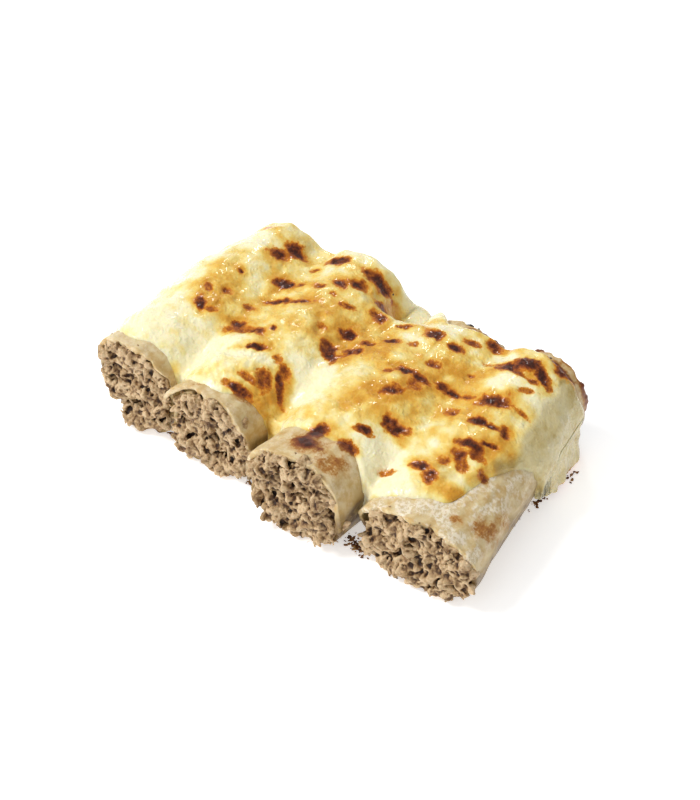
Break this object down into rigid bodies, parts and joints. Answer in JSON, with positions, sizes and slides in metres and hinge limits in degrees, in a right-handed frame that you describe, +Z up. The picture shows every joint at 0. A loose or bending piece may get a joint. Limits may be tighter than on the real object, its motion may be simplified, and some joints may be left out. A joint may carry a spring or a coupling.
{
  "type": "cannelloni",
  "caption": "Baked cannelloni: minced-meat pasta rolls lying side by side, joined under a browned blanket of white sauce and cheese.",
  "frame": {"origin": "middle of the bounding box's underside, on the surface that the rolls rest on", "axes": "+X across the rolls, +Y along the rolls from the cut front ends to the back ends, +Z up"},
  "size_m": [0.1422, 0.0982, 0.035],
  "materials": {
    "boiled_pasta": "moist, slightly translucent cream pasta sheet, dry and toasted where bare",
    "cooked_mince": "coarse grey-brown cooked mince with dark pits",
    "browned_cheese_sauce": "glossy cream sauce and melted cheese, golden with dark brown baked spots"
  },
  "bodies": {
    "root": {"pasta_1": "boiled_pasta", "pasta_2": "boiled_pasta", "pasta_3": "boiled_pasta", "pasta_4": "boiled_pasta", "filling_1": "cooked_mince", "filling_2": "cooked_mince", "filling_3": "cooked_mince", "filling_4": "cooked_mince", "gratin": "browned_cheese_sauce"}
  },
  "joints": []
}
